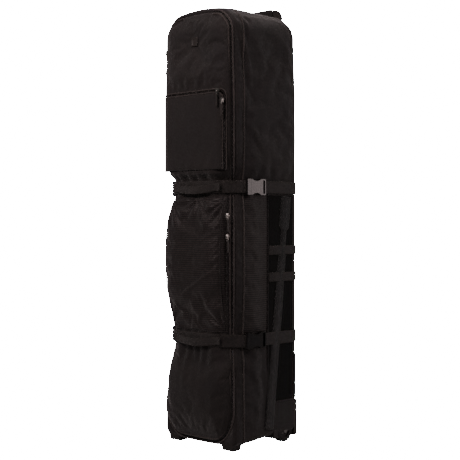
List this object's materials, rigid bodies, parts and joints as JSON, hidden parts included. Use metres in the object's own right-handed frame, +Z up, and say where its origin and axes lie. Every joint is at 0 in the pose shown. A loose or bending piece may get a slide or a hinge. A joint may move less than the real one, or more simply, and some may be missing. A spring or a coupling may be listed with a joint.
{
  "type": "golf travel case",
  "caption": "Tall soft golf travel case with a hinged zippered front, flap and bellows pockets, buckled compression straps, haul handle, front feet and rear wheels.",
  "frame": {"origin": "centre of the bounding box at the floor, where the feet and wheels stand", "axes": "+Z up, the front with the pockets faces -Y, +X is on the right of a person facing the front"},
  "size_m": [0.334, 0.3169, 1.359],
  "materials": {
    "padded_fabric": "satin",
    "ripstop": "satin",
    "webbing": "satin",
    "mesh_backing": "matte",
    "moulded_corner": "matte",
    "tyre_rubber": "matte",
    "hub_plastic": "satin",
    "steel": "satin",
    "buckle_acetal": "gloss",
    "slider_metal": "polished",
    "pull_rubber": "matte",
    "zipper_coil": "satin",
    "patch": "matte"
  },
  "bodies": {
    "case": {"axle_left": "steel", "axle_right": "steel", "back_band_lower": "webbing", "back_band_upper": "webbing", "back_pad": "padded_fabric", "base_tray": "moulded_corner", "buckle_socket_lower_left": "buckle_acetal", "buckle_socket_lower_right": "buckle_acetal", "buckle_socket_upper_left": "buckle_acetal", "buckle_socket_upper_right": "buckle_acetal", "front_foot_left": "moulded_corner", "front_foot_right": "moulded_corner", "grab_grip": "padded_fabric", "grab_webbing": "webbing", "haul_strap_left": "webbing", "haul_strap_right": "webbing", "main_shell": "padded_fabric", "main_zipper_case": "zipper_coil", "side_backing_left": "mesh_backing", "side_backing_right": "mesh_backing", "skid_rail_left": "moulded_corner", "skid_rail_right": "moulded_corner", "strap_back_lower": "webbing", "strap_back_upper": "webbing", "wheel_housing_left": "moulded_corner", "wheel_housing_right": "moulded_corner"},
    "lid": {"blank_patch": "patch", "grab_handle_lower": "webbing", "grab_handle_upper": "webbing", "lid_panel": "padded_fabric", "main_zipper_lid": "zipper_coil", "mid_pocket": "ripstop", "mid_pocket_zipper": "zipper_coil", "strap_front_lower": "webbing", "strap_front_upper": "webbing", "upper_pocket_zipper": "zipper_coil"},
    "buckle_male_lower_left": {"buckle_male_lower_left": "buckle_acetal"},
    "buckle_male_lower_right": {"buckle_male_lower_right": "buckle_acetal"},
    "buckle_male_upper_left": {"buckle_male_upper_left": "buckle_acetal"},
    "buckle_male_upper_right": {"buckle_male_upper_right": "buckle_acetal"},
    "pull_flap_1": {"pull_flap_1": "pull_rubber"},
    "pull_flap_2": {"pull_flap_2": "pull_rubber"},
    "pull_main_1": {"pull_main_1": "pull_rubber"},
    "pull_main_2": {"pull_main_2": "pull_rubber"},
    "pull_mid_1": {"pull_mid_1": "pull_rubber"},
    "pull_mid_2": {"pull_mid_2": "pull_rubber"},
    "slider_flap_1": {"slider_flap_1": "slider_metal"},
    "slider_flap_2": {"slider_flap_2": "slider_metal"},
    "slider_main_1": {"slider_main_1": "slider_metal"},
    "slider_main_2": {"slider_main_2": "slider_metal"},
    "slider_mid_1": {"slider_mid_1": "slider_metal"},
    "slider_mid_2": {"slider_mid_2": "slider_metal"},
    "pocket_flap": {"upper_pocket_flap": "padded_fabric"},
    "wheel_left": {"wheel_bearing_left": "steel", "wheel_hub_left": "hub_plastic", "wheel_tyre_left": "tyre_rubber"},
    "wheel_right": {"wheel_bearing_right": "steel", "wheel_hub_right": "hub_plastic", "wheel_tyre_right": "tyre_rubber"}
  },
  "joints": [
    {"name": "lid_hinge", "type": "hinge", "parent": "case", "child": "lid", "pos_m": [0, -0.12555, 1.3075], "axis": [-1, 0, 0], "range_deg": [0, 100]},
    {"name": "pocket_flap_hinge", "type": "hinge", "parent": "lid", "child": "pocket_flap", "pos_m": [0, -0.14955, 0.836], "axis": [1, 0, 0], "range_deg": [0, 90]},
    {"name": "wheel_left_spin", "type": "hinge", "parent": "case", "child": "wheel_left", "pos_m": [-0.137, 0.10245, 0.035], "axis": [1, 0, 0], "continuous": true},
    {"name": "wheel_right_spin", "type": "hinge", "parent": "case", "child": "wheel_right", "pos_m": [0.137, 0.10245, 0.035], "axis": [1, 0, 0], "continuous": true},
    {"name": "buckle_upper_left_slide", "type": "slide", "parent": "lid", "child": "buckle_male_upper_left", "axis": [0, -1, 0], "range_m": [0, 0.024]},
    {"name": "buckle_upper_right_slide", "type": "slide", "parent": "lid", "child": "buckle_male_upper_right", "axis": [0, -1, 0], "range_m": [0, 0.024]},
    {"name": "buckle_lower_left_slide", "type": "slide", "parent": "lid", "child": "buckle_male_lower_left", "axis": [0, -1, 0], "range_m": [0, 0.024]},
    {"name": "buckle_lower_right_slide", "type": "slide", "parent": "lid", "child": "buckle_male_lower_right", "axis": [0, -1, 0], "range_m": [0, 0.024]},
    {"name": "zip_main_1_slide", "type": "slide", "parent": "lid", "child": "slider_main_1", "axis": [0, 0, 1], "range_m": [0, 0.016]},
    {"name": "pull_main_1_swing", "type": "hinge", "parent": "slider_main_1", "child": "pull_main_1", "pos_m": [-0.1448, -0.12795, 1.21], "axis": [-1, 0, 0], "range_deg": [0, 90]},
    {"name": "zip_main_2_slide", "type": "slide", "parent": "lid", "child": "slider_main_2", "axis": [0, 0, -1], "range_m": [0, 0.9]},
    {"name": "pull_main_2_swing", "type": "hinge", "parent": "slider_main_2", "child": "pull_main_2", "pos_m": [-0.1448, -0.12795, 1.148], "axis": [-1, 0, 0], "range_deg": [0, 90]},
    {"name": "zip_flap_1_slide", "type": "slide", "parent": "lid", "child": "slider_flap_1", "axis": [-1, 0, 0], "range_m": [0, 0.18]},
    {"name": "pull_flap_1_swing", "type": "hinge", "parent": "slider_flap_1", "child": "pull_flap_1", "pos_m": [0.111, -0.15655, 1.071], "axis": [-1, 0, 0], "range_deg": [0, 90]},
    {"name": "zip_flap_2_slide", "type": "slide", "parent": "lid", "child": "slider_flap_2", "axis": [0, 0, -1], "range_m": [0, 0.15]},
    {"name": "pull_flap_2_swing", "type": "hinge", "parent": "slider_flap_2", "child": "pull_flap_2", "pos_m": [0.13, -0.15655, 1.04], "axis": [-1, 0, 0], "range_deg": [0, 90]},
    {"name": "zip_mid_1_slide", "type": "slide", "parent": "lid", "child": "slider_mid_1", "axis": [0, 0, 1], "range_m": [0, 0.02]},
    {"name": "pull_mid_1_swing", "type": "hinge", "parent": "slider_mid_1", "child": "pull_mid_1", "pos_m": [0.139, -0.13755, 0.7], "axis": [0, -1, 0], "range_deg": [0, 90]},
    {"name": "zip_mid_2_slide", "type": "slide", "parent": "lid", "child": "slider_mid_2", "axis": [0, 0, -1], "range_m": [0, 0.2]},
    {"name": "pull_mid_2_swing", "type": "hinge", "parent": "slider_mid_2", "child": "pull_mid_2", "pos_m": [0.139, -0.13755, 0.638], "axis": [0, -1, 0], "range_deg": [0, 90]}
  ]
}
